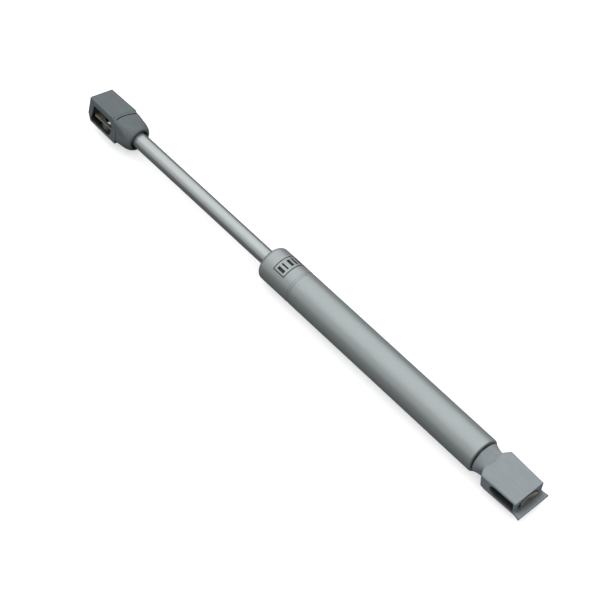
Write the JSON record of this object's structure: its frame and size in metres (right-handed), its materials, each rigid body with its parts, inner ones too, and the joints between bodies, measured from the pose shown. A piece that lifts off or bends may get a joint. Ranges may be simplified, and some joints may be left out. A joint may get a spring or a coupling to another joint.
{
  "type": "gas strut stay",
  "caption": "Gas strut for a cabinet flap: sealed silver tube, chromed rod and a plastic stud socket with a slide clip at each end.",
  "frame": {"origin": "centre of the wall of the tube-end stud hole, on the hole's axis", "axes": "+X along the strut from the tube-end stud hole towards the rod end, +Z away from the face that the tube-end stud enters"},
  "size_m": [0.3065, 0.0188, 0.018],
  "materials": {
    "satin_silver_coat": "satin silver-grey coat",
    "chromed_rod": "ground and chromed, satin bright",
    "light_grey_nylon": "light bluish grey, moulded, matt",
    "dark_grey_nylon": "dark grey, moulded, matt",
    "yellow_zinc": "pale yellow zinc plate on stamped sheet",
    "turned_steel": "turned, bare",
    "black_ink": "flat black, printed",
    "black_rubber": "black, moulded",
    "bearing_polymer": "black acetal",
    "brass": "turned, knurled"
  },
  "bodies": {
    "cylinder": {"pressure_tube": "satin_silver_coat", "rear_plug": "turned_steel", "rear_plug_ring": "black_rubber", "rear_stud": "turned_steel", "front_wiper": "bearing_polymer", "rod_guide": "bearing_polymer", "rod_seal": "black_rubber", "seal_washer": "turned_steel", "seal_spacer": "bearing_polymer", "stop_ring": "turned_steel", "tube_end_socket": "light_grey_nylon", "tube_end_insert": "brass"},
    "tube_clip": {"tube_end_clip": "yellow_zinc"},
    "slider": {"piston_ring": "bearing_polymer"},
    "rod": {"piston_rod": "chromed_rod", "end_bumper": "black_rubber", "piston_front_washer": "turned_steel", "piston": "turned_steel", "valve_disc": "turned_steel", "piston_rear_washer": "turned_steel", "piston_nut": "turned_steel", "rod_end_socket": "dark_grey_nylon", "rod_end_insert": "brass"},
    "rod_clip": {"rod_end_clip": "yellow_zinc"}
  },
  "joints": [
    {"name": "rod_slide", "type": "slide", "parent": "cylinder", "child": "slider", "axis": [1, 0, 0], "range_m": [-0.09, 0], "stiffness_N_per_m": 390, "springref_m": 0.257},
    {"name": "rod_swivel", "type": "hinge", "parent": "slider", "child": "rod", "pos_m": [0.1, 0, 0.00325], "axis": [1, 0, 0], "continuous": true},
    {"name": "tube_clip_slide", "type": "slide", "parent": "cylinder", "child": "tube_clip", "axis": [1, 0, 0], "range_m": [0, 0.0024]},
    {"name": "rod_clip_slide", "type": "slide", "parent": "rod", "child": "rod_clip", "axis": [-1, 0, 0], "range_m": [0, 0.0024]}
  ]
}
